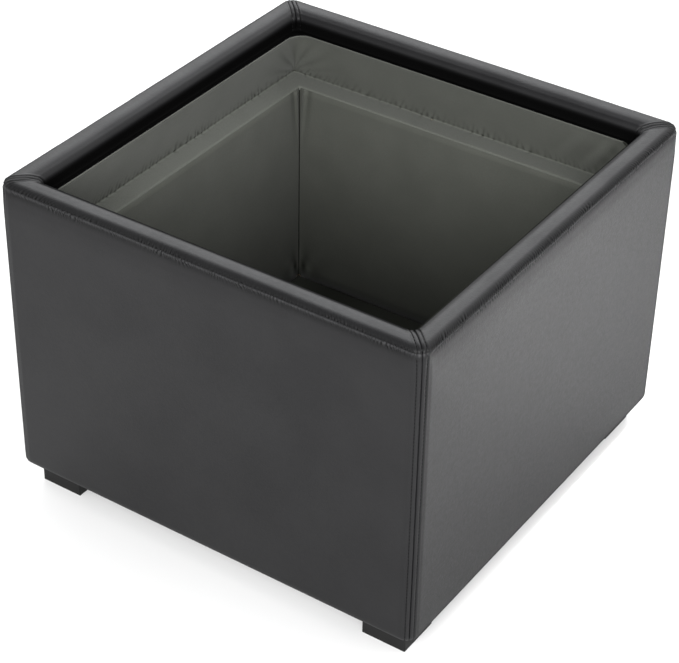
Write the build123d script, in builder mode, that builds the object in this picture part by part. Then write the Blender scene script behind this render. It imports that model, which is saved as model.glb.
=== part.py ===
from build123d import *
import os

# An upholstered storage ottoman without its lid: a square box of boards, padded and
# covered outside, lined inside, with a recessed ledge that carries a lift-off lid.
# +Z is up, and the origin is on the floor under the middle of the box.
# "Inset" is always measured inward from the flat outer face of a wall.

# Driving dimensions (mm)
width = 510.0  # outside, the same both ways
rim_top = 390.0  # top of the padded rim above the floor
corner_radius = 16.0  # upright corners of the cover
leather = 1.2  # covering material
fabric = 1.2  # lining material
dust_sheet = 0.6  # cloth stapled underneath
side_pad = 5.0  # foam on the outer faces
board = 12.0  # side boards
floor_board = 10.0
foot_size = 52.0
foot_inset = 17.0
foot_height = 31.4
rim_width = 28.5  # padded rim, outer face to inner face
rim_pad = 7.8  # foam on top of the side boards
rim_outer_radius = 12.0
rim_inner_radius = 10.0
rim_inner_corner = 8.0  # corner radius of the rim's opening
seam_drop = 5.5  # rim seam below the top of the rim
turn_under = 25.0  # cover folded under the box
lining_drop = 22.0  # top edge of the lining below the top of the rim
lining_inset = 41.0  # top edge of the lining
crease_inset = 22.7  # where the lining meets the ledge
ledge_drop = 82.5  # ledge surface below the top of the rim
hollow_inset = 50.9  # walls of the storage hollow
guide_rail_height = 25.0
ledge_rail_height = 18.0
stiffener = 3.0  # hardboard behind the lower lining

# Fixings (mm)
shank_radius = 2.0
head_radius = 4.0
head_depth = 2.0
screw_length = 28.0
hole_gap = 0.1  # room around a shank
corner_screw_heights = (85.0, 165.0, 245.0)
corner_screw_stagger = 14.0  # keeps crossing screws apart
rail_screw_places = (-140.0, 0.0, 140.0)
foot_screw_offset = 12.0
foot_screw_radius = 2.5
foot_screw_head = 4.5
foot_screw_head_height = 3.0
foot_screw_length = 28.0
foot_bore_radius = 5.5
foot_bore_depth = 14.0
foot_chamfer = 1.0

# Heights above the floor
underside = foot_height + dust_sheet
board_bottom = underside + leather
floor_board_top = board_bottom + floor_board
board_top = rim_top - leather - rim_pad
seam_height = rim_top - seam_drop
lining_top = rim_top - lining_drop
guide_rail_top = lining_top - leather
guide_rail_bottom = guide_rail_top - guide_rail_height
ledge_top = rim_top - ledge_drop
ledge_rail_top = ledge_top - fabric
ledge_rail_bottom = ledge_rail_top - ledge_rail_height

# Insets
board_outer = leather + side_pad
board_inner = board_outer + board
foam_inner = rim_width - leather
rail_inner = hollow_inset - fabric
block_inner = rail_inner - stiffener
lining_back = lining_inset - fabric
lining_slope = (lining_inset - crease_inset) / (lining_top - ledge_top)
guide_rail_top_inset = lining_back - lining_slope * (lining_top - guide_rail_top)
guide_rail_bottom_inset = lining_back - lining_slope * (lining_top - guide_rail_bottom)

sides = {"front": 0, "right": 90, "back": 180, "left": 270}


def span(inset):
    """Side of the square that lies at an inset from every outer face."""
    return width - 2 * inset


def section_plane(turn):
    """Cross-section of a wall: x is the inset, y the height, z runs along the wall."""
    outward = Vector(0, -1, 0).rotate(Axis.Z, turn)
    along = Vector(1, 0, 0).rotate(Axis.Z, turn)
    return Plane(origin=outward * (width / 2), x_dir=outward * -1, z_dir=along)


def face_plane(turn, inset):
    """A wall seen from outside at an inset: x runs along the wall and y is the height."""
    outward = Vector(0, -1, 0).rotate(Axis.Z, turn)
    along = Vector(1, 0, 0).rotate(Axis.Z, turn)
    return Plane(origin=outward * (width / 2 - inset), x_dir=along, z_dir=outward)


def quarter(turn):
    """The quarter of the box that belongs to one wall, cut along both diagonals."""
    with BuildPart() as prism:
        with BuildSketch(Plane.XY):
            with BuildLine():
                Polyline((0, 0), (-width, -width), (width, -width), close=True)
            make_face()
        extrude(amount=rim_top + leather)
    return prism.part.rotate(Axis.Z, turn)


quarters = {side: quarter(turn) for side, turn in sides.items()}


def corner_screw_points(side):
    """Screws through a board into the blocks at its ends, staggered from wall to wall."""
    reach = width / 2 - (board_inner + block_inner) / 2
    rise = corner_screw_stagger if side in ("left", "right") else 0
    return [(x, z + rise) for x in (-reach, reach) for z in corner_screw_heights]


def rail_screw_points():
    """Screws through a board into its ledge rail and its guide rail."""
    ledge_middle = ledge_rail_top - ledge_rail_height / 2
    guide_middle = guide_rail_top - guide_rail_height / 2
    return [(x, z) for x in rail_screw_places for z in (ledge_middle, guide_middle)]


def foot_screw_points():
    """Two screws for each foot, on the diagonal that points at the corner."""
    middle = width / 2 - foot_inset - foot_size / 2
    reaches = (middle - foot_screw_offset, middle + foot_screw_offset)
    return [(x * r, y * r) for x in (-1, 1) for y in (-1, 1) for r in reaches]


def padded_ring(skin):
    """The padded outline of the box, taken in by a skin thickness on every face."""
    outer = span(skin)
    opening = span(rim_width - skin)
    with BuildPart() as ring:
        with BuildSketch(Plane.XY.offset(underside + skin)):
            RectangleRounded(outer, outer, corner_radius - skin)
            RectangleRounded(opening, opening, rim_inner_corner + skin, mode=Mode.SUBTRACT)
        extrude(amount=rim_top - underside - 2 * skin)
        top_edges = ring.faces().sort_by(Axis.Z)[-1]
        fillet(top_edges.outer_wire().edges(), rim_outer_radius - skin)
        fillet(ring.faces().sort_by(Axis.Z)[-1].inner_wires().edges(), rim_inner_radius - skin)
    return ring.part


padded_outline = padded_ring(0)
foam_outline = padded_ring(leather)


def make_cover(side):
    """Outer cover of one wall, from the rim seam down and turned under the box."""
    with BuildPart() as cover:
        with BuildSketch(Plane.XY.offset(underside)):
            RectangleRounded(width, width, corner_radius)
            Rectangle(span(turn_under), span(turn_under), mode=Mode.SUBTRACT)
        extrude(amount=seam_height - underside)
        add(padded_outline, mode=Mode.INTERSECT)
        with BuildSketch(Plane.XY.offset(board_bottom)):
            Rectangle(span(board_outer), span(board_outer))
        extrude(amount=rim_top, mode=Mode.SUBTRACT)
        add(foam_outline, mode=Mode.SUBTRACT)
        add(quarters[side], mode=Mode.INTERSECT)
    return cover.part


def make_rim_band(side):
    """Band over the padded rim, down its inner face and across the guide rail."""
    with BuildPart() as band:
        with BuildSketch(Plane.XY.offset(seam_height)):
            RectangleRounded(width, width, corner_radius)
        extrude(amount=rim_top - seam_height)
        with BuildSketch(Plane.XY.offset(guide_rail_top)):
            Rectangle(span(foam_inner), span(foam_inner))
        extrude(amount=rim_top - lining_top)
        add(padded_outline, mode=Mode.INTERSECT)
        add(foam_outline, mode=Mode.SUBTRACT)
        with BuildSketch(Plane.XY.offset(guide_rail_top)):
            RectangleRounded(span(foam_inner), span(foam_inner), rim_inner_corner + leather)
            Rectangle(span(guide_rail_top_inset), span(guide_rail_top_inset), mode=Mode.SUBTRACT)
        extrude(amount=leather)
        add(quarters[side], mode=Mode.INTERSECT)
    return band.part


def make_rim_foam(side):
    """Foam cap over the top edge of a side board."""
    with BuildPart() as foam:
        with BuildSketch(Plane.XY.offset(guide_rail_top)):
            Rectangle(width, width)
        extrude(amount=rim_top - guide_rail_top)
        add(foam_outline, mode=Mode.INTERSECT)
        with BuildSketch(Plane.XY.offset(guide_rail_top)):
            Rectangle(span(board_outer), span(board_outer))
            Rectangle(span(board_inner), span(board_inner), mode=Mode.SUBTRACT)
        extrude(amount=board_top - guide_rail_top, mode=Mode.SUBTRACT)
        add(quarters[side], mode=Mode.INTERSECT)
    return foam.part


def make_side_pad(side):
    """Foam sheet between a side board and its cover."""
    with BuildPart() as pad:
        with BuildSketch(Plane.XY.offset(board_bottom)):
            RectangleRounded(span(leather), span(leather), corner_radius - leather)
            Rectangle(span(board_outer), span(board_outer), mode=Mode.SUBTRACT)
        extrude(amount=guide_rail_top - board_bottom)
        add(quarters[side], mode=Mode.INTERSECT)
    return pad.part


def make_side_board(side, turn):
    """Side board. The front and back boards lap the ends of the other two."""
    length = span(board_outer) if side in ("front", "back") else span(board_inner)
    with BuildPart() as panel:
        with BuildSketch(section_plane(turn)):
            with Locations((board_outer, board_bottom)):
                Rectangle(board, board_top - board_bottom, align=(Align.MIN, Align.MIN))
        extrude(amount=length / 2, both=True)
        with Locations(face_plane(turn, board_outer)):
            with Locations(*corner_screw_points(side), *rail_screw_points()):
                CounterSinkHole(shank_radius + hole_gap, head_radius, board)
    return panel.part


def make_rail(side, turn, outline):
    """Rail along the inside of a side board, mitred at both ends."""
    with BuildPart() as rail:
        with BuildSketch(section_plane(turn)):
            with BuildLine():
                Polyline(*outline, close=True)
            make_face()
        extrude(amount=width / 2, both=True)
        with Locations(face_plane(turn, board_outer)):
            with Locations(*rail_screw_points()):
                Hole(shank_radius + hole_gap, screw_length)
        add(quarters[side], mode=Mode.INTERSECT)
    return rail.part


ledge_rail_outline = (
    (board_inner, ledge_rail_bottom),
    (rail_inner, ledge_rail_bottom),
    (rail_inner, ledge_rail_top),
    (board_inner, ledge_rail_top),
)
guide_rail_outline = (
    (board_inner, guide_rail_bottom),
    (guide_rail_bottom_inset, guide_rail_bottom),
    (guide_rail_top_inset, guide_rail_top),
    (board_inner, guide_rail_top),
)


def make_corner_block(x_sign, y_sign):
    """Post glued and screwed into an upright corner, under the ledge rails."""
    size = block_inner - board_inner
    reach = width / 2 - (board_inner + block_inner) / 2
    with BuildPart() as block:
        with BuildSketch(Plane.XY.offset(floor_board_top)):
            with Locations((x_sign * reach, y_sign * reach)):
                Rectangle(size, size)
        extrude(amount=ledge_rail_bottom - floor_board_top)
        for side, turn in sides.items():
            with Locations(face_plane(turn, board_outer)):
                with Locations(*corner_screw_points(side)):
                    Hole(shank_radius + hole_gap, screw_length)
    return block.part


def make_floor_board():
    """Board that closes the bottom, inside the side boards."""
    with BuildPart() as panel:
        with BuildSketch(Plane.XY.offset(board_bottom)):
            Rectangle(span(board_inner), span(board_inner))
        extrude(amount=floor_board)
        with Locations(Plane.XY.offset(floor_board_top)):
            with Locations(*foot_screw_points()):
                Hole(foot_screw_radius + hole_gap, floor_board)
    return panel.part


def make_strip(side, turn, outline):
    """Strip of lining along one wall, mitred at both ends."""
    with BuildPart() as strip:
        with BuildSketch(section_plane(turn)):
            with BuildLine():
                Polyline(*outline, close=True)
            make_face()
        extrude(amount=width / 2, both=True)
        add(quarters[side], mode=Mode.INTERSECT)
    return strip.part


lining_band_outline = (
    (crease_inset - fabric, ledge_top),
    (crease_inset, ledge_top),
    (lining_inset, lining_top),
    (lining_back, lining_top),
)
lining_ledge_outline = (
    (board_inner, ledge_rail_top),
    (hollow_inset, ledge_rail_top),
    (hollow_inset, ledge_top),
    (board_inner, ledge_top),
)
lining_wall_outline = (
    (rail_inner, floor_board_top),
    (hollow_inset, floor_board_top),
    (hollow_inset, ledge_rail_top),
    (rail_inner, ledge_rail_top),
)
stiffener_outline = (
    (block_inner, floor_board_top),
    (rail_inner, floor_board_top),
    (rail_inner, ledge_rail_bottom),
    (block_inner, ledge_rail_bottom),
)


def make_lining_floor():
    """Lining on the floor of the hollow."""
    with BuildPart() as sheet:
        with BuildSketch(Plane.XY.offset(floor_board_top)):
            Rectangle(span(hollow_inset), span(hollow_inset))
        extrude(amount=fabric)
    return sheet.part


def make_dust_cover():
    """Thin cloth that closes the underside, between the box and its feet."""
    margin = turn_under / 2
    with BuildPart() as sheet:
        with BuildSketch(Plane.XY.offset(foot_height)):
            Rectangle(span(margin), span(margin))
        extrude(amount=dust_sheet)
        with Locations(Plane.XY.offset(underside)):
            with Locations(*foot_screw_points()):
                Hole(foot_screw_radius + hole_gap, dust_sheet)
    return sheet.part


def make_foot(x_sign, y_sign):
    """Square block foot with two counterbored holes for its screws."""
    middle = width / 2 - foot_inset - foot_size / 2
    with BuildPart() as foot:
        with BuildSketch(Plane.XY):
            with Locations((x_sign * middle, y_sign * middle)):
                Rectangle(foot_size, foot_size)
        extrude(amount=foot_height)
        chamfer(foot.faces().sort_by(Axis.Z)[0].edges(), foot_chamfer)
        chamfer(foot.edges().filter_by(Axis.Z), foot_chamfer)
        with Locations(Plane.XY.rotated((180, 0, 0))):
            with Locations(*[(x, -y) for x, y in foot_screw_points()]):
                CounterBoreHole(foot_screw_radius + hole_gap, foot_bore_radius, foot_bore_depth, foot_height)
    return foot.part


def make_countersunk_screw():
    """Wood screw that enters along -Z, with the flat of its head at z = 0."""
    with BuildPart() as screw:
        with BuildSketch(Plane.XZ):
            with BuildLine():
                Polyline(
                    (0, 0),
                    (head_radius - hole_gap, 0),
                    (shank_radius, -head_depth),
                    (shank_radius, 2 * shank_radius - screw_length),
                    (0, hole_gap - screw_length),
                    close=True,
                )
            make_face()
        revolve(axis=Axis.Z)
    return screw.part


def make_foot_screw():
    """Pan-head screw that enters along +Z, with the seat of its head at z = 0."""
    with BuildPart() as screw:
        with BuildSketch(Plane.XZ):
            with BuildLine():
                Polyline(
                    (0, -foot_screw_head_height),
                    (foot_screw_head, -foot_screw_head_height / 2),
                    (foot_screw_head, 0),
                    (foot_screw_radius, 0),
                    (foot_screw_radius, foot_screw_length - 2 * foot_screw_radius),
                    (0, foot_screw_length),
                    close=True,
                )
            make_face()
        revolve(axis=Axis.Z)
    return screw.part


def make_wall_screws(points):
    """The same screw at every given place, listed wall by wall."""
    screw = make_countersunk_screw()
    with BuildPart() as group:
        for side, turn in sides.items():
            with Locations(face_plane(turn, board_outer)):
                with Locations(*points[side]):
                    add(screw)
    return group.part


def make_foot_screws():
    """All the screws that hold the feet."""
    screw = make_foot_screw()
    with BuildPart() as group:
        with Locations(Plane.XY.offset(foot_bore_depth)):
            with Locations(*foot_screw_points()):
                add(screw)
    return group.part


def finish(part, name):
    part.label = name
    export_step(part, f"parts/{name}.step")


os.makedirs("parts", exist_ok=True)
for side, turn in sides.items():
    finish(make_cover(side), f"cover_{side}")
    finish(make_rim_band(side), f"rim_band_{side}")
    finish(make_rim_foam(side), f"rim_foam_{side}")
    finish(make_side_pad(side), f"side_pad_{side}")
    finish(make_side_board(side, turn), f"side_board_{side}")
    finish(make_rail(side, turn, ledge_rail_outline), f"ledge_rail_{side}")
    finish(make_rail(side, turn, guide_rail_outline), f"guide_rail_{side}")
    finish(make_strip(side, turn, lining_band_outline), f"lining_band_{side}")
    finish(make_strip(side, turn, lining_ledge_outline), f"lining_ledge_{side}")
    finish(make_strip(side, turn, lining_wall_outline), f"lining_wall_{side}")
    finish(make_strip(side, turn, stiffener_outline), f"stiffener_{side}")

corners = {
    "front_left": (-1, -1),
    "front_right": (1, -1),
    "back_right": (1, 1),
    "back_left": (-1, 1),
}
for corner, (x_sign, y_sign) in corners.items():
    finish(make_corner_block(x_sign, y_sign), f"corner_block_{corner}")
    finish(make_foot(x_sign, y_sign), f"foot_{corner}")

finish(make_floor_board(), "floor_board")
finish(make_lining_floor(), "lining_floor")
finish(make_dust_cover(), "dust_cover")
finish(make_wall_screws({side: corner_screw_points(side) for side in sides}), "corner_screws")
finish(make_wall_screws({side: rail_screw_points() for side in sides}), "rail_screws")
finish(make_foot_screws(), "foot_screws")
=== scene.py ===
"""Looks of a square storage ottoman shown without its lid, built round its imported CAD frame.

Everything is in metres in the frame's own axes. A place on a wall is given by its inset,
measured inward from the flat outer face, by its height above the floor, and by an arc
length along the wall from its middle. Leather panels and lining are grids of such places:
the rows follow a profile across the wall, and the columns run along it.
"""

import math

import bpy
import numpy as np
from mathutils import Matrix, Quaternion, Vector


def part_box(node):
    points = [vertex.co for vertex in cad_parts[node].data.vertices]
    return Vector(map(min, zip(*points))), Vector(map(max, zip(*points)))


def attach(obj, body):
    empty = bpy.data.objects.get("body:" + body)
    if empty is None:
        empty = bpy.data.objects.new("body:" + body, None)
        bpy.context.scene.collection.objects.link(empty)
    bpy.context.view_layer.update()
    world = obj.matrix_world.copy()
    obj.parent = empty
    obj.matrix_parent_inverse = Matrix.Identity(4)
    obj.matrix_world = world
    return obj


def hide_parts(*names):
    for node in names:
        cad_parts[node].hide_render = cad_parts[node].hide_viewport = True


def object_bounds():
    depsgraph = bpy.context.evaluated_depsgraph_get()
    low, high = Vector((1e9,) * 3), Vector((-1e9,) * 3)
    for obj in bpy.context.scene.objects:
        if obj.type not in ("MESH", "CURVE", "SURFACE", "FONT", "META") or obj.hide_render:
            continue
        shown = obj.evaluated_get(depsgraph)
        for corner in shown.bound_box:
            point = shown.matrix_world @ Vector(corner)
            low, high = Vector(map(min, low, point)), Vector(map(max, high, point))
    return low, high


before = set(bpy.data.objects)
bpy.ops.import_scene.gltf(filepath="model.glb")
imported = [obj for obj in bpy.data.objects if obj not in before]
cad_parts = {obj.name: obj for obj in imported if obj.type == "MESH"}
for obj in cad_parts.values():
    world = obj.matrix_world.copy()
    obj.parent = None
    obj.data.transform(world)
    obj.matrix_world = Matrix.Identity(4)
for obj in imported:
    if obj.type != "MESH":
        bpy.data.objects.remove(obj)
cad_low, cad_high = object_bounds()

MM = 0.001
SIDES = {"front": 0, "right": 90, "back": 180, "left": 270}
CORNERS = ("front_right", "back_right", "back_left", "front_left")  # at each wall's far end

# Sizes taken from the frame
half = cad_high.x
rim_top = cad_high.z
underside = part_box("cover_front")[0].z
seam_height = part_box("cover_front")[1].z
board_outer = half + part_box("side_board_front")[0].y
board_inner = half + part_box("side_board_front")[1].y
board_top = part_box("side_board_front")[1].z
board_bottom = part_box("side_board_front")[0].z
flange_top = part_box("lining_band_front")[1].z
leather = flange_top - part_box("guide_rail_front")[1].z
rim_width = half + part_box("rim_foam_front")[1].y + leather
lining_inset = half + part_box("lining_band_front")[1].y
hollow_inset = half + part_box("lining_ledge_front")[1].y
ledge_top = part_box("lining_ledge_front")[1].z
fabric = ledge_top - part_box("ledge_rail_front")[1].z
crease_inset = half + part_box("lining_band_front")[0].y + fabric
hollow_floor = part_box("lining_floor")[1].z
cloth_low, cloth_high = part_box("dust_cover")

# Sizes of the upholstery
corner_radius = 16 * MM
opening_radius = 8 * MM
flange_rise = 1.6 * MM  # the rim band's flange swells up towards the lining
lining_radii = (7 * MM, 7 * MM, 20 * MM, 7 * MM)  # of the lining's top edge, at each wall's far end
tight_corner = 3 * MM
crown_inset = 15.5 * MM
shoulder_inset = 10.5 * MM  # from here the roll falls to the outer seam
outer_fall = 5.6 * MM  # height of the roll's outer shoulder
inner_fall = 10 * MM
seam_inset = 2.2 * MM
stitch_row = 4.7 * MM  # topstitching, from the corner seam
stitch_pitch = 4.4 * MM
stitch_length = 3.3 * MM
thread_radius = 0.40 * MM


# Grids

def smooth_line(points, count):
    """A smooth line through given points, as evenly spaced points."""
    points = np.array(points, float)
    padded = np.vstack([2 * points[0] - points[1], points, 2 * points[-1] - points[-2]])
    pieces = []
    for a, b, c, d in zip(padded, padded[1:], padded[2:], padded[3:]):
        t = np.linspace(0, 1, 24, endpoint=False)[:, None]
        pieces.append(
            b + 0.5 * t * (c - a + t * (2 * a - 5 * b + 4 * c - d + t * (3 * (b - c) + d - a)))
        )
    line = np.vstack([*pieces, points[-1:]])
    run = np.append(0, np.cumsum(np.linalg.norm(np.diff(line, axis=0), axis=1)))
    places = np.linspace(0, run[-1], count)
    return np.stack([np.interp(places, run, line[:, k]) for k in range(line.shape[1])], axis=1)


def row_end(inset, radius):
    """Arc length from the middle of a wall to the middle of its rounded corner."""
    return half - inset - radius + radius * math.pi / 4


def on_wall(turn, place, inset, radius, height):
    """Points at arc lengths along a wall whose ends round into the corners."""
    straight = half - inset - radius
    angle = np.maximum(np.abs(place) - straight, 0) / radius
    along = np.sign(place) * (np.minimum(np.abs(place), straight) + radius * np.sin(angle))
    out = half - inset - radius * (1 - np.cos(angle))
    c, s = math.cos(math.radians(turn)), math.sin(math.radians(turn))
    return np.stack([along * c + out * s, along * s - out * c, height + 0 * along], axis=-1)


def normals_of(points, closed=False):
    """Unit normals of a grid, on the side that its rows and columns turn to."""
    across = np.gradient(points, axis=0)
    if closed:
        along = np.roll(points, -1, axis=1) - np.roll(points, 1, axis=1)
    else:
        along = np.gradient(points, axis=1)
    normal = np.cross(across, along)
    return normal / np.maximum(np.linalg.norm(normal, axis=-1, keepdims=True), 1e-12)


def wander(places, pitch, seed):
    """Smooth random values from -1 to 1 that swing about once in each pitch."""
    steps = places / pitch + 1000.0
    cell = np.floor(steps).astype(int)
    t = steps - cell
    values = np.random.default_rng(seed).uniform(-1, 1, cell.max() + 2)
    blend = t * t * (3 - 2 * t)
    return values[cell] * (1 - blend) + values[cell + 1] * blend


def bell(distance, width):
    return np.exp(-((distance / width) ** 2))


def mesh_object(name, points, faces, material):
    mesh = bpy.data.meshes.new(name)
    mesh.from_pydata(points, [], faces)
    mesh.polygons.foreach_set("use_smooth", [True] * len(mesh.polygons))
    mesh.materials.append(material)
    piece = bpy.data.objects.new(name, mesh)
    bpy.context.scene.collection.objects.link(piece)
    return piece


def grid_faces(rows, columns, closed=False, start=0):
    index = np.arange(rows * columns).reshape(rows, columns) + start
    if closed:
        index = np.hstack([index, index[:, :1]])
    quads = np.stack([index[:-1, :-1], index[1:, :-1], index[1:, 1:], index[:-1, 1:]], axis=-1)
    return quads.reshape(-1, 4).tolist()


def grid_object(name, points, material, thickness, closed=False):
    """A sheet of even thickness whose shown face is the grid."""
    rows, columns = points.shape[:2]
    faces = grid_faces(rows, columns, closed)
    piece = mesh_object(name, points.reshape(-1, 3).tolist(), faces, material)
    solid = piece.modifiers.new("thickness", "SOLIDIFY")
    solid.thickness = thickness
    solid.offset = -1
    return piece


def settle(piece, slot, *nodes):
    """The piece rides on the box and stands for its CAD nodes; the slot is not used."""
    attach(piece, "root")
    if nodes:
        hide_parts(*nodes)
    return piece


# Materials

class Surface:
    """A procedural material on the Principled shader, patterned in the frame's metres."""

    def __init__(self, name, **sockets):
        self.material = bpy.data.materials.new(name)
        self.material.use_nodes = True
        self.tree = self.material.node_tree
        self.shader = self.tree.nodes["Principled BSDF"]
        self.place = self.add("ShaderNodeTexCoord").outputs["Object"]
        self.normal = None
        for socket, value in sockets.items():
            self.shader.inputs[socket.replace("_", " ")].default_value = value

    def add(self, kind, inputs=(), **settings):
        node = self.tree.nodes.new(kind)
        for name, value in settings.items():
            setattr(node, name, value)
        for name, value in dict(inputs).items():
            if isinstance(value, bpy.types.NodeSocket):
                self.tree.links.new(value, node.inputs[name])
            else:
                node.inputs[name].default_value = value
        return node

    def stretched(self, scale):
        mapping = self.add("ShaderNodeMapping", {"Vector": self.place, "Scale": scale})
        return mapping.outputs["Vector"]

    def noise(self, scale, detail=2.0, stretch=(1, 1, 1), distortion=0.0):
        inputs = {
            "Vector": self.stretched(stretch),
            "Scale": scale,
            "Detail": detail,
            "Distortion": distortion,
        }
        return self.add("ShaderNodeTexNoise", inputs).outputs["Fac"]

    def cells(self, scale, randomness=1.0, feature="F1"):
        inputs = {"Vector": self.place, "Scale": scale, "Randomness": randomness}
        return self.add("ShaderNodeTexVoronoi", inputs, feature=feature).outputs["Distance"]

    def spread(self, value, low, high, start=0.3, end=0.7):
        """The value stretched from one range to another."""
        inputs = {"Value": value, "From Min": start, "From Max": end, "To Min": low, "To Max": high}
        return self.add("ShaderNodeMapRange", inputs).outputs["Result"]

    def colours(self, value, *stops):
        ramp = self.add("ShaderNodeValToRGB", {"Fac": value})
        elements = ramp.color_ramp.elements
        elements[0].position, elements[1].position = stops[0][0], stops[-1][0]
        elements[0].color, elements[1].color = (*stops[0][1], 1), (*stops[-1][1], 1)
        for position, colour in stops[1:-1]:
            elements.new(position).color = (*colour, 1)
        return ramp.outputs["Color"]

    def mixed(self, share, first, second, blend="MIX"):
        mix = self.add("ShaderNodeMix", data_type="RGBA", blend_type=blend)
        for socket, value in ((0, share), (6, first), (7, second)):
            if isinstance(value, bpy.types.NodeSocket):
                self.tree.links.new(value, mix.inputs[socket])
            else:
                mix.inputs[socket].default_value = value
        return mix.outputs[2]

    def bump(self, height, depth, strength=1.0):
        """Adds relief of about that depth, in metres."""
        inputs = {"Height": height, "Distance": depth, "Strength": strength}
        if self.normal is not None:
            inputs["Normal"] = self.normal
        self.normal = self.add("ShaderNodeBump", inputs).outputs["Normal"]
        self.tree.links.new(self.normal, self.shader.inputs["Normal"])
        return self

    def drive(self, socket, value):
        self.tree.links.new(value, self.shader.inputs[socket])
        return self


def leather_surface():
    """Black faux leather: fine pebbled grain, paler where worn or where a highlight is painted, and dark
    and matt where shade is painted.
    """
    s = Surface("black_faux_leather")
    tone = s.noise(14, 3)
    wear_and_highlight = s.add("ShaderNodeAttribute", attribute_name="wear_and_highlight").outputs["Fac"]
    painted_shade = s.add("ShaderNodeAttribute", attribute_name="painted_shade").outputs["Fac"]
    base = s.colours(tone, (0.35, (0.0050, 0.0050, 0.0056)), (0.65, (0.0072, 0.0072, 0.0078)))
    # Pale grey for wear on the crown and corners and for painted highlights along the bottom edge and the
    # seam ridges
    base = s.mixed(wear_and_highlight, base, (0.045, 0.045, 0.047, 1))
    # Near black, rough and barely reflecting for painted shade on the rim's inner leg, close to the outer
    # seams and in the puckers
    s.drive("Base Color", s.mixed(painted_shade, base, (0.0015, 0.0015, 0.0015, 1)))
    gloss = s.spread(s.noise(260, 3), 0.40, 0.46)
    s.drive("Roughness", s.spread(painted_shade, gloss, 0.8, 0, 1))
    # The gloss falls away towards grazing angles
    facing = s.add("ShaderNodeLayerWeight").outputs["Facing"]
    level = s.spread(facing, 0.21, 0.015, 0.61, 0.76)
    level = s.spread(facing, level, 0.003, 0.78, 0.92)
    s.drive("Specular IOR Level", s.spread(painted_shade, level, 0.02, 0, 1))
    s.bump(s.cells(1300, 0.9), 0.00008, 0.75)
    s.bump(s.noise(420, 3), 0.00022, 0.5)
    return s.material


def lining_surface():
    """Grey-green bonded cloth with fine dots, with painted shade in its creases and painted light on the
    ledge and raised folds.
    """
    s = Surface("lining_cloth", Sheen_Roughness=0.5)
    tone = s.noise(22, 4)
    fibre = s.noise(900, 3)
    painted_darkness = s.add("ShaderNodeAttribute", attribute_name="painted_darkness").outputs["Fac"]
    base = s.colours(tone, (0.3, (0.058, 0.061, 0.052)), (0.7, (0.069, 0.072, 0.062)))
    painted_light = s.add("ShaderNodeAttribute", attribute_name="painted_light").outputs["Fac"]
    # Paler where light is painted: on the ledge strip, on puffs and on raised folds
    base = s.mixed(painted_light, base, (0.102, 0.107, 0.094, 1))
    base = s.mixed(s.spread(fibre, 0.0, 0.4), base, (0.048, 0.050, 0.043, 1))
    # Near black where shade is painted, in creases, seams, hems and low on the walls, which also lose
    # their reflection and sheen; the hollow's floor is painted much darker too
    s.drive("Base Color", s.mixed(painted_darkness, base, (0.016, 0.017, 0.014, 1)))
    s.drive("Roughness", s.spread(fibre, 0.82, 0.95))
    s.drive("Specular IOR Level", s.spread(painted_darkness, 0.25, 0.02, 0, 1))
    s.drive("Sheen Weight", s.spread(painted_darkness, 0.12, 0.0, 0, 1))
    s.bump(s.cells(560, 0.12), 0.00012, 0.5)
    s.bump(s.noise(1700, 2), 0.00008, 0.4)
    return s.material


def thread_surface():
    s = Surface("black_thread", Specular_IOR_Level=0.08)
    twist = s.noise(1500, 2, (1, 1, 0.4))
    s.drive("Base Color", s.colours(twist, (0.3, (0.0015, 0.0015, 0.0015)), (0.7, (0.005, 0.005, 0.005))))
    s.drive("Roughness", s.spread(twist, 0.45, 0.7))
    s.bump(twist, 0.0001, 0.6)
    return s.material


def foam_surface():
    """Open-cell foam: small pits, yellowed in patches."""
    s = Surface("upholstery_foam", Roughness=0.95)
    tone = s.noise(18, 3)
    s.drive("Base Color", s.colours(tone, (0.3, (0.72, 0.66, 0.48)), (0.7, (0.82, 0.78, 0.62))))
    s.drive("Roughness", s.spread(s.noise(500, 2), 0.88, 0.98))
    s.bump(s.cells(900, 1.0), 0.0005, 0.8)
    return s.material


def wood_surface(name, dark, light, stretch, rings):
    """Sawn wood with the grain drawn out along one axis."""
    s = Surface(name, Specular_IOR_Level=0.35)
    grain = s.noise(rings, 6, stretch, 1.2)
    pores = s.noise(rings * 9, 3, stretch)
    base = s.colours(grain, (0.32, dark), (0.5, light), (0.68, dark))
    s.drive("Base Color", s.mixed(s.spread(pores, 0.0, 0.35), base, (*dark, 1), "MULTIPLY"))
    s.drive("Roughness", s.spread(pores, 0.6, 0.8))
    s.bump(pores, 0.0003, 0.5)
    return s.material


def hardboard_surface():
    s = Surface("pressed_hardboard")
    flakes = s.noise(700, 5)
    base = s.colours(
        flakes, (0.3, (0.20, 0.12, 0.07)), (0.55, (0.33, 0.22, 0.13)), (0.8, (0.42, 0.3, 0.19))
    )
    s.drive("Base Color", base)
    s.drive("Roughness", s.spread(flakes, 0.55, 0.8))
    s.bump(flakes, 0.0002, 0.5)
    return s.material


def foot_surface():
    """Black painted wood block, with an orange-peel skin."""
    s = Surface("black_painted_foot", Specular_IOR_Level=0.12)
    peel = s.noise(330, 3)
    tone = s.noise(40, 3)
    s.drive("Base Color", s.colours(tone, (0.3, (0.006, 0.006, 0.006)), (0.7, (0.011, 0.011, 0.011))))
    s.drive("Roughness", s.spread(tone, 0.45, 0.6))
    s.bump(peel, 0.0002, 0.5)
    return s.material


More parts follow.
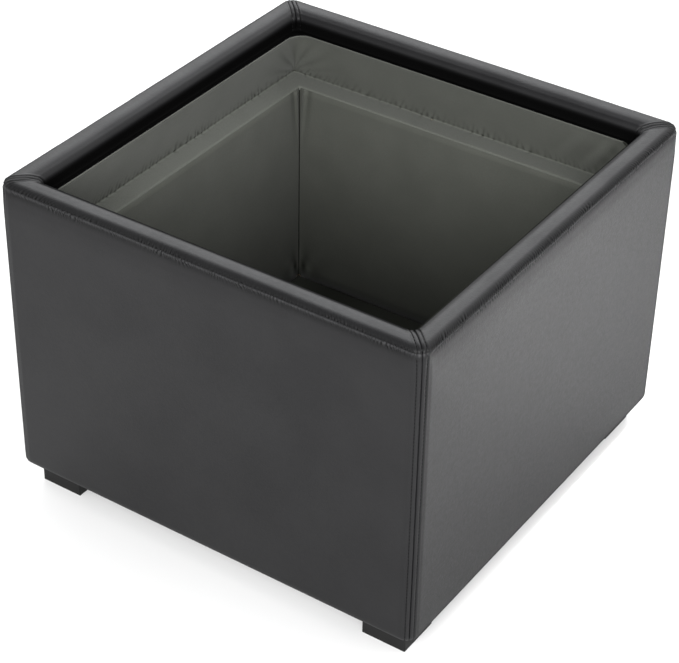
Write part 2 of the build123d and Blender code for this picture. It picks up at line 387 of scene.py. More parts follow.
def dust_cloth_surface():
    """Thin black bonded cloth with tangled fibres."""
    s = Surface("black_dust_cloth", Specular_IOR_Level=0.2)
    fibre = s.noise(260, 6, distortion=2.5)
    s.drive("Base Color", s.colours(fibre, (0.35, (0.008, 0.008, 0.008)), (0.65, (0.022, 0.022, 0.022))))
    s.drive("Roughness", s.spread(fibre, 0.85, 0.97))
    s.bump(fibre, 0.0003, 0.5)
    s.bump(s.cells(420, 0.1), 0.0001, 0.5)
    return s.material


def steel_surface():
    s = Surface("zinc_plated_steel", Metallic=1.0)
    spangle = s.cells(1100)
    s.drive("Base Color", s.colours(spangle, (0.2, (0.50, 0.50, 0.49)), (0.8, (0.66, 0.66, 0.63))))
    s.drive("Roughness", s.spread(spangle, 0.28, 0.45))
    s.bump(s.noise(2500, 2), 0.00005, 0.4)
    return s.material


PINE = ((0.50, 0.34, 0.19), (0.70, 0.54, 0.35))
BOARD = ((0.42, 0.29, 0.17), (0.60, 0.46, 0.30))
leather_material = leather_surface()
lining_material = lining_surface()
thread_material = thread_surface()
foam_material = foam_surface()
steel_material = steel_surface()
dust_material = dust_cloth_surface()
pine_x = wood_surface("pine_along_x", *PINE, (0.06, 1, 1), 90)
pine_y = wood_surface("pine_along_y", *PINE, (1, 0.06, 1), 90)
pine_z = wood_surface("pine_along_z", *PINE, (1, 1, 0.06), 90)
board_x = wood_surface("board_along_x", *BOARD, (0.05, 1, 1), 45)
board_y = wood_surface("board_along_y", *BOARD, (1, 0.05, 1), 45)
hardboard_material = hardboard_surface()
foot_material = foot_surface()


def frame_material(node):
    """The finish of a CAD node that stays as it is."""
    across = node.endswith(("_left", "_right"))
    if node.startswith("foot_") and node != "foot_screws":
        return foot_material
    if node.endswith("screws"):
        return steel_material
    if node.startswith("corner_block"):
        return pine_z
    if node.startswith("stiffener"):
        return hardboard_material
    if node.startswith(("ledge_rail", "guide_rail")):
        return pine_y if across else pine_x
    if node.startswith("side_board"):
        return board_y if across else board_x
    if node == "floor_board":
        return board_x
    return None


def dress_frame():
    for name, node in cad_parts.items():
        finish = frame_material(name)
        if finish is None:
            continue
        if not node.material_slots:
            node.data.materials.append(finish)
        for slot in node.material_slots:
            slot.material = finish


# Leather

end = row_end(0, corner_radius)  # arc length from the middle of a cover to its seam
close = np.arange(0, 8 * MM, 0.26 * MM)
spread_out = np.linspace(8 * MM, end, 300)
from_seam = np.concatenate([close, spread_out])
columns = np.concatenate([from_seam[:-1] - end, end - from_seam[::-1]])
seam_distance = end - np.abs(columns)


def leather_grid(turn, profile, radii=(0, 0)):
    """A leather panel's points: distances from the corner seams stay true near the ends.

    Rows that meet the lining take its corner radii, one for each end of the wall.
    """
    free = 20 * MM
    rows = []
    for inset, height, radius, share in profile:
        radius = radius * (1 - share) + np.where(columns < 0, *radii) * share
        reach = row_end(inset, radius)
        pace = (reach - free) / (end - free)
        kept = np.where(seam_distance < free, seam_distance, free + (seam_distance - free) * pace)
        rows.append(on_wall(turn, np.sign(columns) * (reach - kept), inset, radius, height))
    return np.array(rows)


def raised(points, relief):
    """The grid moved out by the relief, and the same with its ends turned in at the seams."""
    normal = normals_of(points)
    points = points + normal * relief[..., None]
    inward = 2 * MM * normal[:, [0, -1]]
    turned = np.hstack([points[:, :1] - inward[:, :1], points, points[:, -1:] - inward[:, 1:]])
    return points, turned


def seam_relief(distance):
    """Height of the leather beside a corner seam: its groove, a soft rib and the topstitch row."""
    groove = -1.2 * MM * bell(distance, 0.5 * MM)
    row = -0.6 * MM * bell(distance - stitch_row, 0.45 * MM)
    rib = 0.45 * MM * bell(distance - stitch_row / 2, 1.2 * MM)
    shoulder = 0.30 * MM * bell(distance - stitch_row - 1.9 * MM, 1.3 * MM)
    return groove + row + rib + shoulder


def gathers(places, below, seed):
    """Fine irregular puckers across a seam, in clumps; below is the distance from the seam."""
    pitch = 3.3 * MM
    phase = places / pitch + 0.9 * wander(places, 9 * MM, seed) + 1.3 * wander(places, 40 * MM, seed + 1)
    slant = 0.55 * wander(places, 13 * MM, seed + 2) * below / pitch
    clumps = 0.30 + 0.70 * np.clip(wander(places, 17 * MM, seed + 3) + 0.25, 0, 1)
    folds = np.abs(np.sin(math.pi * (phase + slant))) ** 0.7
    cross = np.abs(np.sin(math.pi * (phase * 0.62 - 1.7 * slant + 0.3))) ** 0.7
    return clumps * (1.5 * folds + 0.7 * cross - 1.2)


def rim_profile():
    """From the flange on the guide rail, up the inner leg and over the roll to the outer seam.

    Each row is an inset, a height, a corner radius and how far it follows the lining's corners.
    """
    flange = []
    for share in np.linspace(1, 0.14, 9):
        inset = rim_width + (lining_inset - 0.8 * MM - rim_width) * share
        flange.append((inset, flange_top + flange_rise * share ** 1.3, 12 * MM, share))
    foot = [
        (rim_width + 1.0 * MM, flange_top + 0.3 * MM, 9 * MM),
        (rim_width + 0.2 * MM, flange_top + 1.2 * MM, 8.5 * MM),
    ]
    leg = []
    for z in np.linspace(flange_top + 2.4 * MM, rim_top - inner_fall - 0.6 * MM, 5):
        leg.append((rim_width, z, opening_radius))
    inner = []
    for angle in np.radians(np.linspace(2, 90, 16)):
        inset = crown_inset + (rim_width - crown_inset) * math.cos(angle)
        inner.append((inset, rim_top - inner_fall * (1 - math.sin(angle)), opening_radius))
    outer = []
    outer.append((13 * MM, rim_top - 0.02 * MM, opening_radius))
    for angle in np.radians(np.linspace(90, 4, 18)):
        inset = shoulder_inset - (shoulder_inset - seam_inset) * math.cos(angle)
        share = (crown_inset - inset) / crown_inset
        radius = opening_radius + (corner_radius - seam_inset - opening_radius) * share
        outer.append((inset, rim_top - 0.05 * MM - outer_fall * (1 - math.sin(angle)), radius))
    tuck = [
        (seam_inset + 0.5 * MM, seam_height - 0.5 * MM, corner_radius - 3 * MM),
        (seam_inset + 1.6 * MM, seam_height - 0.3 * MM, corner_radius - 4 * MM),
        (seam_inset + 3.4 * MM, seam_height + 0.5 * MM, corner_radius - 6 * MM),
    ]
    plain = np.array(foot + leg + inner + outer + tuck)
    return np.vstack([flange, np.column_stack([plain, np.zeros(len(plain))])])


def cover_profile():
    """From the seam down the flat face, round the bottom edge and under the box."""
    top = smooth_line(
        [
            (5.0, 1.2), (3.2, 0.2), (2.2, -0.6), (1.75, -1.7), (2.1, -3.0), (2.55, -4.6),
            (2.45, -7.5), (1.7, -13.0), (0.75, -20.0), (0.15, -29.0),
        ],
        30,
    ) * MM + (0, seam_height)
    low = underside + 9 * MM
    face = [(0, z) for z in np.linspace(top[-1, 1] - 6 * MM, low + 4 * MM, 24)]
    bottom = smooth_line(
        [
            (0.0, 9.0), (0.15, 4.0), (1.0, 1.0), (3.2, -0.7),
            (6.5, -1.1), (10.5, -0.5), (14.0, 0.0), (25.0, 0.0),
        ],
        18,
    ) * MM + (0, underside)
    line = np.vstack([top, face, bottom])
    radius = np.maximum(corner_radius - line[:, 0], 2.5 * MM)
    return np.column_stack([line, radius, 0 * radius])


rim_rows = rim_profile()
cover_rows = cover_profile()


def add_wear_and_painted_shading(piece, name, values, margin=1):
    """How far a material is worn, or painted with light or shade, at each point of a grid."""
    values = np.pad(np.clip(values, 0, 1), ((0, 0), (margin, margin)), mode="edge")
    layer = piece.data.attributes.new(name, "FLOAT", "POINT")
    layer.data.foreach_set("value", values.ravel().astype(np.float32))


def hollows(relief, reach):
    """How far each point lies below its neighbours along the rows, in the relief's own unit."""
    around = sum(np.roll(relief, step, axis=1) for step in range(-reach, reach + 1))
    return around / (2 * reach + 1) - relief


def make_rim_band(side, turn, seed):
    """Rolled band over the padded rim, gathered into the outer seam."""
    number = list(SIDES).index(side)
    points = leather_grid(turn, rim_rows, (lining_radii[number - 1], lining_radii[number]))
    inset, height = rim_rows[:, 0, None], rim_rows[:, 1, None]
    above = np.hypot(inset - seam_inset, height - seam_height)
    outside = 1 / (1 + np.exp((inset - crown_inset + 5 * MM) / (1.2 * MM)))
    places = columns[None, :]
    near_corner = 1 - 0.8 * bell(seam_distance, 9 * MM)[None, :]
    pucker = 0.62 * MM * gathers(places, above, seed) * bell(above, 4.6 * MM) * outside * near_corner
    sway = 0.22 * MM * wander(places, 46 * MM, seed + 7) * bell(inset - crown_inset, 11 * MM)
    edge = 0.22 * MM * bell(inset - rim_width + 3.6 * MM, 1.0 * MM) * (height > rim_top - 6 * MM)
    hollow = -0.16 * MM * bell(inset - rim_width + 6.2 * MM, 1.6 * MM) * (height > rim_top - 6 * MM)
    shown = np.clip((height - flange_top - 1 * MM) / (5 * MM), 0, 1)
    relief = pucker + sway + edge + hollow + seam_relief(seam_distance)[None, :] * shown
    points, turned = raised(points, relief)
    piece = grid_object(f"rim_band_{side}_leather", turned, leather_material, leather)
    crown = bell(inset - crown_inset, 8 * MM) * (height > rim_top - 5 * MM)
    add_wear_and_painted_shading(piece, "wear_and_highlight", crown * (0.10 + 0.12 * wander(places, 30 * MM, seed + 9)))
    # Painted shade: near black on the inner leg, and darker close to the outer seam and in the puckers'
    # hollows
    inner_leg_shade = np.clip((rim_top - 7.5 * MM - height) / (4 * MM), 0, 1) * (inset > crown_inset)
    shade = 0.55 * bell(above, 4.2 * MM) + 1.1 * hollows(pucker / MM, 4)
    add_wear_and_painted_shading(piece, "painted_shade", inner_leg_shade + shade * outside * near_corner)
    settle(piece, "faux_leather", f"rim_band_{side}")
    return points


def make_cover(side, turn, seed):
    """Outer panel, gathered into the rim seam and turned under the box."""
    points = leather_grid(turn, cover_rows)
    inset, height = cover_rows[:, 0, None], cover_rows[:, 1, None]
    below = seam_height - height
    places = columns[None, :]
    near_corner = 1 - 0.8 * bell(seam_distance, 9 * MM)[None, :]
    pucker = 0.7 * MM * gathers(places, below, seed) * bell(below - 2 * MM, 4.2 * MM) * near_corner
    # Beside the corners the cover stands out over the boards' square ends
    kept_out = 0.8 * inset * np.clip((below - 1.5 * MM) / (1.8 * MM), 0, 1)
    kept_out = kept_out * (below < 35 * MM) * bell(seam_distance, 10 * MM)[None, :]
    drag = 0.16 * MM * wander(places, 24 * MM, seed + 5) * bell(below - 7 * MM, 13 * MM)
    rise = np.clip((height - underside) / (seam_height - underside), 0, 1)
    pillow = 0.5 * MM * np.sin(math.pi * rise) * (1 - (columns / end) ** 4)[None, :]
    under = np.clip(inset / (12 * MM), 0, 1)
    relief = pucker + drag + kept_out + (pillow + seam_relief(seam_distance)[None, :]) * (1 - under)
    points, turned = raised(points, relief)
    piece = grid_object(f"cover_{side}_leather", turned, leather_material, leather)
    corner = bell(seam_distance[None, :] - stitch_row / 2, 4 * MM) * (1 - under)
    # Painted shade just below the seam and in the puckers' hollows
    shade = 0.35 * bell(below - 5.5 * MM, 4 * MM) + 1.2 * hollows(pucker / MM, 4) * (below < 20 * MM)
    add_wear_and_painted_shading(piece, "painted_shade", shade * near_corner + 0 * places)
    # Painted highlights: a pale line round the bottom edge and along the ridge just below the seam; the
    # corners are a little worn
    bottom_edge_highlight = bell(height - underside + 0.4 * MM, 1.4 * MM) * (inset < 5 * MM)
    ridge = 0.5 * bell(below - 1.6 * MM, 0.9 * MM) * (0.7 + 0.3 * wander(places, 7 * MM, seed + 9))
    add_wear_and_painted_shading(piece, "wear_and_highlight", 0.06 * corner + 0.8 * bottom_edge_highlight + ridge)
    settle(piece, "faux_leather", f"cover_{side}")
    return points


# Stitches

def capsule(middle, direction, normal, length, radius, sag, start):
    """A short arched thread whose ends dive into the leather, as points and faces."""
    steps = np.linspace(-0.5, 0.5, 7)
    thick = radius * np.sqrt(np.clip(1.02 - (2 * steps) ** 4, 0.05, 1))
    line = middle + np.outer(steps * length, direction) - np.outer(sag * (2 * steps) ** 2, normal)
    side = np.cross(direction, normal)
    turn = np.linspace(0, 2 * math.pi, 8, endpoint=False)
    ring = np.outer(np.cos(turn), side) + np.outer(np.sin(turn), normal)
    points = line[:, None, :] + thick[:, None, None] * ring[None, :, :]
    faces = grid_faces(7, 8, True, start)
    faces.append([start + i for i in range(8)])
    faces.append([start + 48 + i for i in reversed(range(8))])
    return points.reshape(-1, 3).tolist(), faces


def stitch_line(points, column, first, last, store):
    """Stitches along one column of a leather grid, between two arc lengths."""
    line = points[:, column]
    normal = normals_of(points)[:, column]
    run = np.append(0, np.cumsum(np.linalg.norm(np.diff(line, axis=0), axis=1)))
    stop = last if last > 0 else run[-1] + last
    for place in np.arange(first, stop, stitch_pitch):
        middle = np.array([np.interp(place, run, line[:, k]) for k in range(3)])
        ahead = np.array([np.interp(place + MM, run, line[:, k]) for k in range(3)])
        up = np.array([np.interp(place, run, normal[:, k]) for k in range(3)])
        direction = (ahead - middle) / np.linalg.norm(ahead - middle)
        up = up - direction * (up @ direction)
        up /= np.linalg.norm(up)
        middle = middle + up * thread_radius * 0.55
        more, faces = capsule(
            middle, direction, up, stitch_length, thread_radius, 0.3 * MM, len(store[0])
        )
        store[0].extend(more)
        store[1].extend(faces)


def make_topstitching(bands, covers):
    """Two rows of topstitching at each corner, one on each wall, over the roll and down."""
    left = int(np.argmin(np.abs(columns + end - stitch_row)))
    right = int(np.argmin(np.abs(columns - end + stitch_row)))
    names = list(SIDES)
    for i, corner in enumerate(CORNERS):
        store = ([], [])
        for side, column in ((names[i], right), (names[(i + 1) % 4], left)):
            stitch_line(bands[side], column, 17 * MM, -7.5 * MM, store)
            stitch_line(covers[side], column, 11 * MM, -26 * MM, store)
        piece = mesh_object(f"topstitching_{corner}", *store, thread_material)
        settle(piece, "faux_leather")


# Lining

arc_steps = 24
straight_steps = 310
ring_wall = np.repeat(np.arange(4), straight_steps + arc_steps)
ring_run = np.tile(
    np.concatenate([np.linspace(0, 1, straight_steps, endpoint=False), np.ones(arc_steps)]), 4
)
ring_arc = np.tile(
    np.concatenate([np.zeros(straight_steps), np.linspace(0, 1, arc_steps, endpoint=False)]), 4
)
wall_run = 2 * (half - hollow_inset)
ring_place = ((ring_wall + ring_run) * wall_run)[None, :]


def ring_of(line, radii_of):
    """A closed ring of lining round all four walls, from insets and heights."""
    rows = []
    for row, (inset, height) in enumerate(line):
        radii = radii_of(row)
        walls = []
        for number, turn in enumerate(SIDES.values()):
            before, after = radii[number - 1], radii[number]
            start, stop = half - inset - before, half - inset - after
            run = np.linspace(-start, stop, straight_steps, endpoint=False)
            bend = np.linspace(0, math.pi / 2, arc_steps, endpoint=False)
            along = np.concatenate([run, stop + after * np.sin(bend)])
            out = half - inset - after * (1 - np.cos(bend))
            out = np.concatenate([np.full(straight_steps, half - inset), out])
            c, s = math.cos(math.radians(turn)), math.sin(math.radians(turn))
            walls.append(np.stack([along * c + out * s, along * s - out * c, height + 0 * out], axis=-1))
        rows.append(np.vstack(walls))
    return np.array(rows)


def from_corner(radius):
    """Signed distance of each column from the middle of the nearest corner, of that radius."""
    arc = radius * math.pi / 2
    before = -arc / 2 - (1 - ring_run) * wall_run
    after = arc / 2 + ring_run * wall_run
    nearest = np.where(ring_run > 0.5, before, after)
    return np.where(ring_arc > 0, (ring_arc - 0.5) * arc, nearest)[None, :]


# Folds that fan out from the foot of each corner of the band: angle and half width in radians,
# height in mm
CORNER_FOLDS = (
    (-1.24, 0.10, 1.4), (-0.92, 0.20, 2.2), (-0.46, 0.21, 3.2), (-0.08, 0.13, 2.6),
    (0.26, 0.17, 3.2), (0.74, 0.24, 2.4), (1.22, 0.12, 1.2),
)

# Slanting folds in the back wall's band: place in wall lengths from the first wall, height in mm
DRAG_FOLDS = ((2.07, 1.5), (2.115, 1.0), (2.17, 1.6), (2.25, 0.8))


def upper_lining_line(top):
    """Insets and heights of the ledge strip, the sloping band and the hem at its top."""
    ledge = smooth_line(
        [(hollow_inset - 1.4 * MM, ledge_top - 5 * MM), (hollow_inset - 0.1 * MM, ledge_top - 1.6 * MM),
         (hollow_inset - 1.3 * MM, ledge_top - 0.1 * MM), (hollow_inset - 6 * MM, ledge_top),
         (crease_inset + 9 * MM, ledge_top - 0.3 * MM), (crease_inset + 1.2 * MM, ledge_top - 0.4 * MM)],
        13,
    )
    slope = (lining_inset - crease_inset) / (top - ledge_top)
    band = []
    for z in np.linspace(0.8 * MM, top - ledge_top - 2.4 * MM, 18):
        band.append((crease_inset + slope * z, ledge_top + z))
    hem = [
        (lining_inset + 0.3 * MM, top - 1.6 * MM), (lining_inset + 0.4 * MM, top - 0.7 * MM),
        (lining_inset - 0.2 * MM, top - 0.1 * MM), (lining_inset - 1.2 * MM, top - 0.3 * MM),
    ]
    return np.vstack([ledge, band, hem])


def corner_fan(beside, above, rise):
    """Height in mm of the folds at the corners, by distances beside and above their foot."""
    reach = np.hypot(beside, above)
    angle = np.arctan2(beside, above + 2 * MM)
    fan = sum(high * bell(angle - middle, wide) for middle, wide, high in CORNER_FOLDS)
    fan = fan * np.clip(reach / (22 * MM), 0, 1) * bell(reach, 50 * MM)
    return fan * np.clip((1 - rise) * 4, 0, 1)


def drag_folds(above, rise):
    """Height in mm of the slanting folds, strongest half way up the band."""
    slant = ring_place + 0.9 * above
    drag = sum(high * bell(slant - place * wall_run, 6 * MM) for place, high in DRAG_FOLDS)
    return drag * np.sin(math.pi * rise)


def make_upper_lining():
    """Ledge strip and sloping band of the lining, with a crease between them, hemmed at the top."""
    top = flange_top + flange_rise + 0.3 * MM
    line = upper_lining_line(top)
    height = line[:, 1, None]
    rise = np.clip((height - ledge_top) / (top - ledge_top), 0, 1)
    points = ring_of(
        line, lambda row: [tight_corner + (r - tight_corner) * rise[row, 0] ** 0.8 for r in lining_radii]
    )
    on_band = (height > ledge_top + 0.2 * MM) * 1.0
    on_ledge = 1 - on_band
    above = np.maximum(height - ledge_top, 0)
    beside = from_corner(12 * MM)
    spacing = (ring_place / (13 * MM) + 0.45 * wander(ring_place, 40 * MM, 21)) % 1 - 0.5
    size = 0.35 + 0.65 * np.clip(wander(ring_place, 13 * MM, 22) + 0.3, 0, 1)
    nick = bell(spacing + 0.12 * above / (9 * MM), 0.12) * size * bell(above, 8 * MM) * on_band
    puff = np.sin(math.pi * (spacing + 0.5)) * size * bell(above - 3 * MM, 4 * MM) * on_band
    dimple = bell(spacing, 0.13) * size * bell(line[:, 0, None] - crease_inset, 4 * MM) * on_ledge
    drape = wander(ring_place + 0.5 * above, 70 * MM, 24) * np.sin(math.pi * rise) * on_band
    wave = wander(ring_place, 26 * MM, 25) * on_ledge * (line[:, 0, None] < hollow_inset - 2 * MM)
    soft = corner_fan(beside, above, rise) * on_band + drag_folds(above, rise) * on_band
    relief = soft - 0.9 * nick + 1.9 * puff - 0.8 * dimple + 0.5 * drape + 0.35 * wave
    points = points + normals_of(points, True) * (relief * MM)[..., None]
    piece = grid_object("lining_upper", points, lining_material, 0.9 * fabric, True)
    # The front and right walls' hems are painted darker than the others, for the camera's view
    hem_shade = np.where(ring_wall < 2, 0.95, 0.0)[None, :] * (height > top - 3.2 * MM)
    # Painted shade in the folds' hollows, the nicks and a line along the foot of the band, with the
    # darker hems
    folds = 0.8 * hollows(relief - soft, 7) + 0.35 * hollows(soft, 11)
    shade = folds + 1.1 * nick + 0.45 * bell(above, MM) * on_band + hem_shade
    add_wear_and_painted_shading(piece, "painted_darkness", shade, 0)
    # Painted light on the ledge strip, the puffs and the raised folds
    painted_light_share = on_ledge * (line[:, 0, None] < crease_inset + 28 * MM) + 0.3 * puff + 0.2 * soft
    add_wear_and_painted_shading(piece, "painted_light", painted_light_share, 0)
    nodes = [f"lining_{part}_{side}" for part in ("band", "ledge") for side in SIDES]
    settle(piece, "lining", *nodes)


def make_lower_lining():
    """Walls of the hollow, sewn up the corners, with a tuck opening at the top of each."""
    top, bottom = ledge_top - 1.4 * MM, hollow_floor - 0.6 * MM
    heights = bottom + (top - bottom) * np.linspace(0, 1, 27) ** 0.85
    line = np.column_stack([np.full(27, hollow_inset), heights])
    points = ring_of(line, lambda row: [2 * MM] * 4)
    height = heights[:, None]
    rise = (height - bottom) / (top - bottom)
    beside = from_corner(2 * MM)
    slack = wander(ring_place, 110 * MM, 31) * np.sin(math.pi * rise)
    ripple = wander(ring_place, 31 * MM, 32) * bell(rise - 1, 0.35)
    opening = np.clip(1 - (top - height) / (80 * MM), 0, 1)
    ridge = bell(np.abs(beside) - 1.8 * MM - 6 * MM * opening, (1 + 1.6 * opening) * MM) * opening ** 0.6
    seam = bell(beside, 0.7 * MM)
    low = height - bottom
    pull = wander(np.arctan2(np.abs(beside), low + MM), 0.35, 33) * bell(np.hypot(beside, low), 40 * MM)
    relief = 0.7 * slack + 0.4 * ripple + 2.4 * ridge - 1.6 * seam + 1.4 * pull
    points = points + normals_of(points, True) * (relief * MM)[..., None]
    piece = grid_object("lining_lower", points, lining_material, 0.9 * fabric, True)
    # Painted shade in the folds' hollows and along the corner seams, growing darker towards the bottom of
    # the walls
    add_wear_and_painted_shading(piece, "painted_darkness", 0.7 * hollows(relief, 7) + 0.8 * seam + 0.5 * (1 - rise) ** 2, 0)
    settle(piece, "lining", *[f"lining_wall_{side}" for side in SIDES])


def make_lining_floor():
    """Cloth on the floor of the hollow, a little slack."""
    reach = half - hollow_inset
    steps = np.linspace(-1, 1, 120)
    x, y = np.meshgrid(steps * reach, steps * reach, indexing="ij")
    edge = np.minimum(1 - np.abs(x) / reach, 1 - np.abs(y) / reach)
    slack = wander(x + 0.4 * y, 70 * MM, 41) * wander(y - 0.3 * x, 80 * MM, 42)
    z = hollow_floor + 0.5 * MM * slack * np.clip(edge * 8, 0, 1) - 0.5 * MM * bell(edge, 0.01)
    points = np.stack([x, y, z], axis=-1)
    piece = grid_object("lining_floor_cloth", points, lining_material, 0.9 * fabric)
    # The floor cloth is painted much darker than the walls, by an amount that varies with its slack
    add_wear_and_painted_shading(piece, "painted_darkness", 0.85 + 0.15 * slack, 0)
    settle(piece, "lining", "lining_floor")


# Foam, under the leather

def swept_pad(name, turn, loop, seed, nodes):
    """A closed foam strip: a loop across the wall carried from mitre to mitre."""
    steps = np.concatenate(
        [np.linspace(-1, -0.94, 8), np.linspace(-0.92, 0.92, 60), np.linspace(0.94, 1, 8)]
    )
    rows = []
    for inset, height, radius in loop:
        reach = row_end(inset, radius) - 5 * MM
        rows.append(on_wall(turn, steps * reach, inset, radius, height))
    points = np.array(rows)
    ring = np.vstack([points, points[:1]])
    places = np.arange(len(steps))[None, :] * 7 * MM + 0 * points[..., 0]
    swell = 0.15 * MM * wander(places, 30 * MM, seed)
    points = points + normals_of(ring)[:-1] * swell[..., None]
    count, across = len(loop), len(steps)
    faces = grid_faces(count + 1, across)
    faces = [[v if v < count * across else v - count * across for v in f] for f in faces]
    faces.append([i * across for i in range(count)])
    faces.append([i * across + across - 1 for i in reversed(range(count))])
    piece = mesh_object(name, points.reshape(-1, 3).tolist(), faces, foam_material)
    settle(piece, "foam", *nodes)


def make_foam(side, turn, seed):
    """Foam cap over the board's top edge, and the foam sheet on its outer face."""
    skin = leather + 0.35 * MM
    low = flange_top - leather + 0.2 * MM
    cap = rim_rows[(rim_rows[:, 0] <= rim_width + 0.05 * MM) & (rim_rows[:, 1] > low + 2 * MM), :3]
    centre = np.array([crown_inset, rim_top - 14 * MM])
    pull = centre - cap[:, :2]
    pull /= np.linalg.norm(pull, axis=1, keepdims=True)
    cap[:, :2] += pull * skin
    outer_low = (board_outer - 3.3 * MM, low, corner_radius - 3 * MM)
    loop = [
        (rim_width - skin, low, opening_radius),
        *[tuple(r) for r in cap],
        outer_low,
        (board_outer, low, 6 * MM),
        (board_outer, board_top, 6 * MM),
        (board_inner, board_top, 6 * MM),
        (board_inner, low, 6 * MM),
    ]
    swept_pad(f"foam_cap_{side}", turn, loop, seed, [f"rim_foam_{side}"])
    inner, outer = board_outer - 0.05 * MM, leather + 0.4 * MM
    top, bottom = low - 0.2 * MM, board_bottom
    heights = np.linspace(bottom + MM, top - MM, 14)
    rise = (heights - bottom) / (top - bottom)
    depth = outer + 3 * MM * np.clip(rise * 8 - 7, 0, 1) + 0.9 * MM * (1 - rise) ** 12
    face = [(d, z, corner_radius - leather) for d, z in zip(depth, heights)]
    panel = [
        (inner, bottom, 9.5 * MM),
        (inner, top, 9.5 * MM),
        (outer + 4 * MM, top, 11 * MM),
        *face[::-1],
        (outer + 1.6 * MM, bottom, corner_radius - 2 * MM),
    ]
    swept_pad(f"foam_panel_{side}", turn, panel, seed + 1, [f"side_pad_{side}"])


# Underside

def make_dust_cover():
    """Thin cloth under the box, drawn flat at its stapled edge and at the feet."""
    reach = cloth_high.x
    steps = np.linspace(-1, 1, 130)
    x, y = np.meshgrid(steps * reach, -steps * reach, indexing="ij")
    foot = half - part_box("foot_front_right")[0].x + 4 * MM
    inner = np.clip((half - foot - np.minimum(np.abs(x), np.abs(y))) / (90 * MM), 0, 1)
    edge = np.clip((reach - np.maximum(np.abs(x), np.abs(y))) / (60 * MM), 0, 1)
    sag = inner * inner * (3 - 2 * inner) * edge * edge * (3 - 2 * edge)
    ripple = 0.3 * MM * wander(x + y, 22 * MM, 51) * wander(x - y, 30 * MM, 52) * sag
    z = cloth_low.z - 2.2 * MM * sag + ripple
    points = np.stack([x, y, z], axis=-1)
    piece = grid_object("dust_cover_cloth", points, dust_material, cloth_high.z - cloth_low.z)
    settle(piece, "dust_cloth", "dust_cover")


def make_staples():
    """Staples that hold the dust cover, a little askew."""
    store = ([], [])
    random = np.random.default_rng(61)
    inset = half - cloth_high.x + 6 * MM
    for turn in SIDES.values():
        for place in np.linspace(-0.72, 0.72, 11) * half:
            nudge = random.uniform(-2, 2, 2) * MM
            along, across = np.array([place + nudge[0]]), inset + nudge[1] / 3
            middle = on_wall(turn, along, across, tight_corner, cloth_low.z)[0]
            lean = math.radians(turn + random.uniform(-9, 9))
            direction = np.array([math.cos(lean), math.sin(lean), 0])
            down = np.array([0, 0, -1.0])
            more, faces = capsule(
                middle + down * 0.1 * MM, direction, down, 10 * MM, 0.4 * MM, 0.35 * MM, len(store[0])
            )
            store[0].extend(more)
            store[1].extend(faces)
    settle(mesh_object("staples", *store, steel_material), "screw_steel")


# Studio

def aim(thing, place, target, roll=0.0):
    direction = Vector(target) - Vector(place)
    thing.location = place
    thing.rotation_mode = "QUATERNION"
    turn = Quaternion((0, 0, 1), math.radians(roll))
    thing.rotation_quaternion = direction.to_track_quat("-Z", "Y") @ turn


def from_angles(target, azimuth, elevation, distance):
    """A place at that distance from a target; azimuth 0 looks along +Y."""
    a, e = math.radians(azimuth), math.radians(elevation)
    back = Vector((math.sin(a) * math.cos(e), -math.cos(a) * math.cos(e), math.sin(e)))
    return Vector(target) + back * distance


def make_camera():
    data = bpy.data.cameras.new("camera")
    data.sensor_width = 36.0
    data.lens = 112.3
    data.dof.use_dof = False
    camera = bpy.data.objects.new("camera", data)
    bpy.context.scene.collection.objects.link(camera)
    target = (0.0377, -0.0663, 0.2156)
    aim(camera, from_angles(target, 33.58, 35.47, 2.2185), target, 1.13)
    bpy.context.scene.camera = camera


def make_softbox(name, place, target, size, radiance, colour=(1, 1, 1), spread=180):
    """A square light of that radiance, narrowed to a cone of that many degrees."""
    data = bpy.data.lights.new(name, "AREA")
    data.shape = "SQUARE"
    data.size = size
    data.energy = radiance * math.pi * size * size
    data.color = colour
    data.spread = math.radians(spread)
    light = bpy.data.objects.new(name, data)
    bpy.context.scene.collection.objects.link(light)
    aim(light, place, target)


# The sky's radiance against the height of a direction over a plane that leans to the front left
SKY = ((0.0, 1.45), (0.3, 1.8), (0.5, 1.8), (0.65, 1.1), (0.8, 0.6), (1.0, 0.25))
SKY_AXIS = (-0.22, -0.30, 0.93)


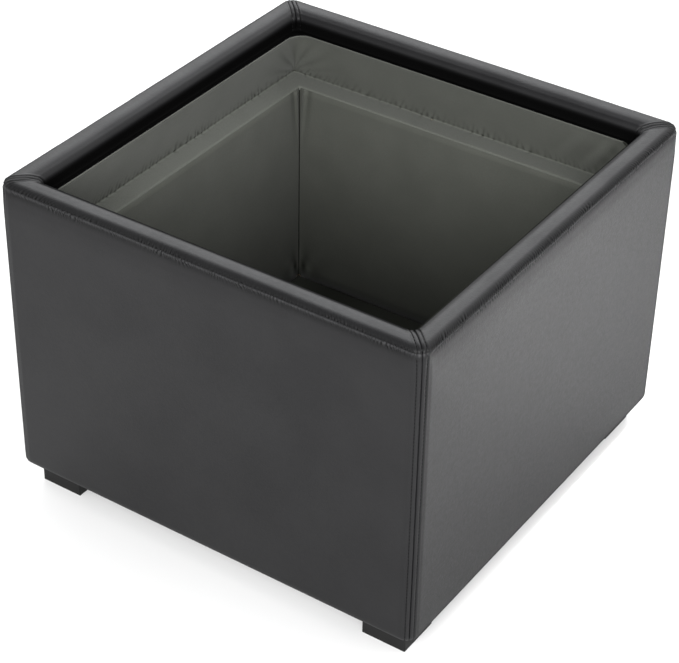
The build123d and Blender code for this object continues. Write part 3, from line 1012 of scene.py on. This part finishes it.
def make_sky():
    world = bpy.data.worlds.new("studio")
    world.use_nodes = True
    tree = world.node_tree
    direction = tree.nodes.new("ShaderNodeTexCoord").outputs["Generated"]
    lean = tree.nodes.new("ShaderNodeVectorMath")
    lean.operation = "DOT_PRODUCT"
    lean.inputs[1].default_value = SKY_AXIS
    ramp = tree.nodes.new("ShaderNodeValToRGB")
    elements = ramp.color_ramp.elements
    while len(elements) < len(SKY):
        elements.new(1.0)
    for element, (height, shade) in zip(elements, SKY):
        element.position = height
        element.color = (shade, shade, shade, 1)
    background = tree.nodes["Background"]
    background.inputs["Strength"].default_value = 1.0
    tree.links.new(direction, lean.inputs[0])
    tree.links.new(lean.outputs["Value"], ramp.inputs["Fac"])
    tree.links.new(ramp.outputs["Color"], background.inputs["Color"])
    bpy.context.scene.world = world


def make_lights():
    """A cool panel behind the box, a low key from the camera's side and a wash on the floor."""
    middle = (0, 0, 0.2)
    make_softbox("back_left", (-1.5, 2.25, 2.6), middle, 2.4, 3.2, (0.96, 0.975, 1.0))
    make_softbox("key", (1.3, -2.8, 1.95), middle, 1.8, 15.0)
    make_softbox("floor_wash", (0.85, 0.5, 2.2), (0.85, 0.5, 0), 0.5, 8.0, spread=36)


def make_floor():
    s = Surface("studio_floor", Roughness=0.9, Specular_IOR_Level=0.1)
    s.drive("Base Color", s.colours(s.noise(3, 2), (0.3, (0.84, 0.84, 0.84)), (0.7, (0.86, 0.86, 0.86))))
    steps = np.linspace(-8, 8, 9)
    x, y = np.meshgrid(steps, steps, indexing="ij")
    points = np.stack([x, -y, 0 * x], axis=-1)
    faces = grid_faces(9, 9)
    floor = mesh_object("studio_floor", points.reshape(-1, 3).tolist(), faces, s.material)


dress_frame()
bands, covers = {}, {}
for number, (side, turn) in enumerate(SIDES.items()):
    bands[side] = make_rim_band(side, turn, 100 + 20 * number)
    covers[side] = make_cover(side, turn, 110 + 20 * number)
    make_foam(side, turn, 200 + 5 * number)
make_topstitching(bands, covers)
make_upper_lining()
make_lower_lining()
make_lining_floor()
make_dust_cover()
make_staples()
make_camera()
make_sky()
make_lights()
make_floor()
bpy.context.scene.view_settings.view_transform = "Standard"
